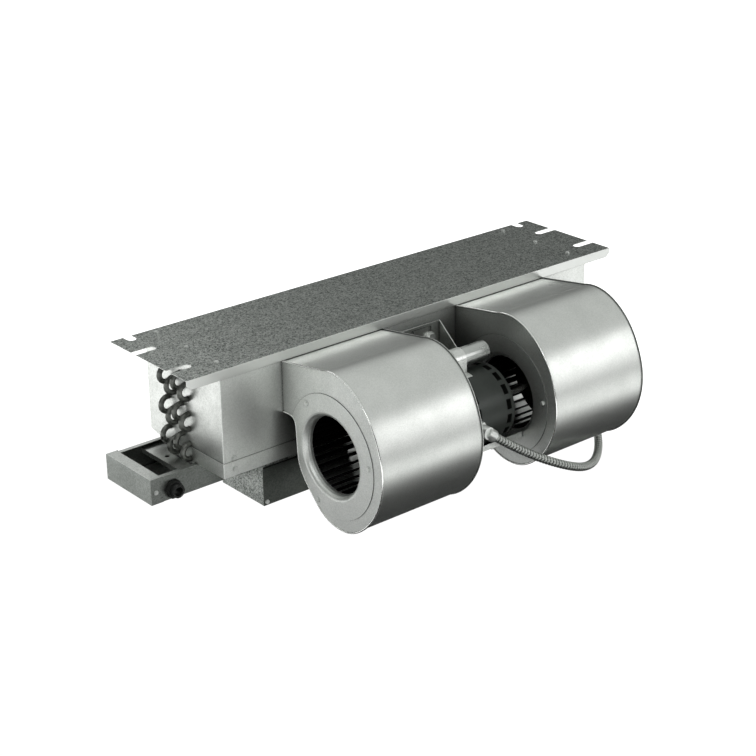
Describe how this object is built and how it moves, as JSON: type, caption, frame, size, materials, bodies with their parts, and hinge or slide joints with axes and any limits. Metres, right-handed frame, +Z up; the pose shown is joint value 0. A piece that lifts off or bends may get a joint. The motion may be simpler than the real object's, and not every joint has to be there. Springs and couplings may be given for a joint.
{
  "type": "fan coil unit",
  "caption": "Horizontal fan coil unit: hanging top panel, water coil in a casing, drain pan, twin scroll blowers on one motor shaft, junction box and flexible conduit.",
  "frame": {"origin": "centre of the top face of the top panel, the face that is hung from the slab", "axes": "+X along the blower shaft, +Y towards the duct collar, -Y towards the blowers, +Z up"},
  "size_m": [0.952, 0.4637, 0.2874],
  "materials": {
    "fine_galvanised": "satin",
    "bright_galvanised": "satin",
    "zinc_plate": "satin",
    "dark_enamel": "satin",
    "ground_steel": "polished",
    "lamination_steel": "rough",
    "winding_copper": "satin",
    "copper_tube": "satin",
    "vent_brass": "satin",
    "fin_aluminium": "satin",
    "black_plastic": "matte"
  },
  "bodies": {
    "chassis": {"air_vent": "vent_brass", "bottom_tray": "bright_galvanised", "box_conduit_fitting": "zinc_plate", "box_cover": "bright_galvanised", "box_screws": "zinc_plate", "bracket_bolts": "zinc_plate", "capacitor": "fin_aluminium", "capacitor_strap": "zinc_plate", "casing_screws": "zinc_plate", "coil_fins": "fin_aluminium", "coil_tubes": "copper_tube", "drain_fitting": "black_plastic", "drain_locknut": "black_plastic", "drain_pan": "fine_galvanised", "duct_collar": "fine_galvanised", "fan_deck": "bright_galvanised", "flexible_conduit": "zinc_plate", "junction_box": "bright_galvanised", "left_end_plate": "bright_galvanised", "left_inner_inlet_ring": "bright_galvanised", "left_outer_inlet_ring": "bright_galvanised", "left_return_bends": "copper_tube", "left_scroll_inner_side": "bright_galvanised", "left_scroll_outer_side": "bright_galvanised", "left_scroll_wrap": "bright_galvanised", "motor_bearings": "ground_steel", "motor_bracket": "bright_galvanised", "motor_conduit_fitting": "zinc_plate", "motor_left_bell": "dark_enamel", "motor_right_bell": "dark_enamel", "motor_shelf": "bright_galvanised", "motor_shell": "dark_enamel", "motor_studs": "zinc_plate", "pan_bridge": "fine_galvanised", "pan_end_cap": "fine_galvanised", "pan_hangers": "fine_galvanised", "rear_frame": "fine_galvanised", "return_header": "copper_tube", "right_end_plate": "bright_galvanised", "right_inner_inlet_ring": "bright_galvanised", "right_outer_inlet_ring": "bright_galvanised", "right_return_bends": "copper_tube", "right_scroll_inner_side": "bright_galvanised", "right_scroll_outer_side": "bright_galvanised", "right_scroll_wrap": "bright_galvanised", "ring_screws": "zinc_plate", "stator_core": "lamination_steel", "stator_windings": "winding_copper", "supply_header": "copper_tube", "terminal_block": "black_plastic", "top_panel": "fine_galvanised"},
    "rotor": {"motor_shaft": "ground_steel", "rotor_core": "lamination_steel", "left_blower_wheel": "bright_galvanised", "right_blower_wheel": "bright_galvanised", "wheel_set_screws": "zinc_plate"}
  },
  "joints": [
    {"name": "rotor_spin", "type": "hinge", "parent": "chassis", "child": "rotor", "pos_m": [0.0045, -0.2202, -0.1365], "axis": [1, 0, 0], "continuous": true}
  ]
}
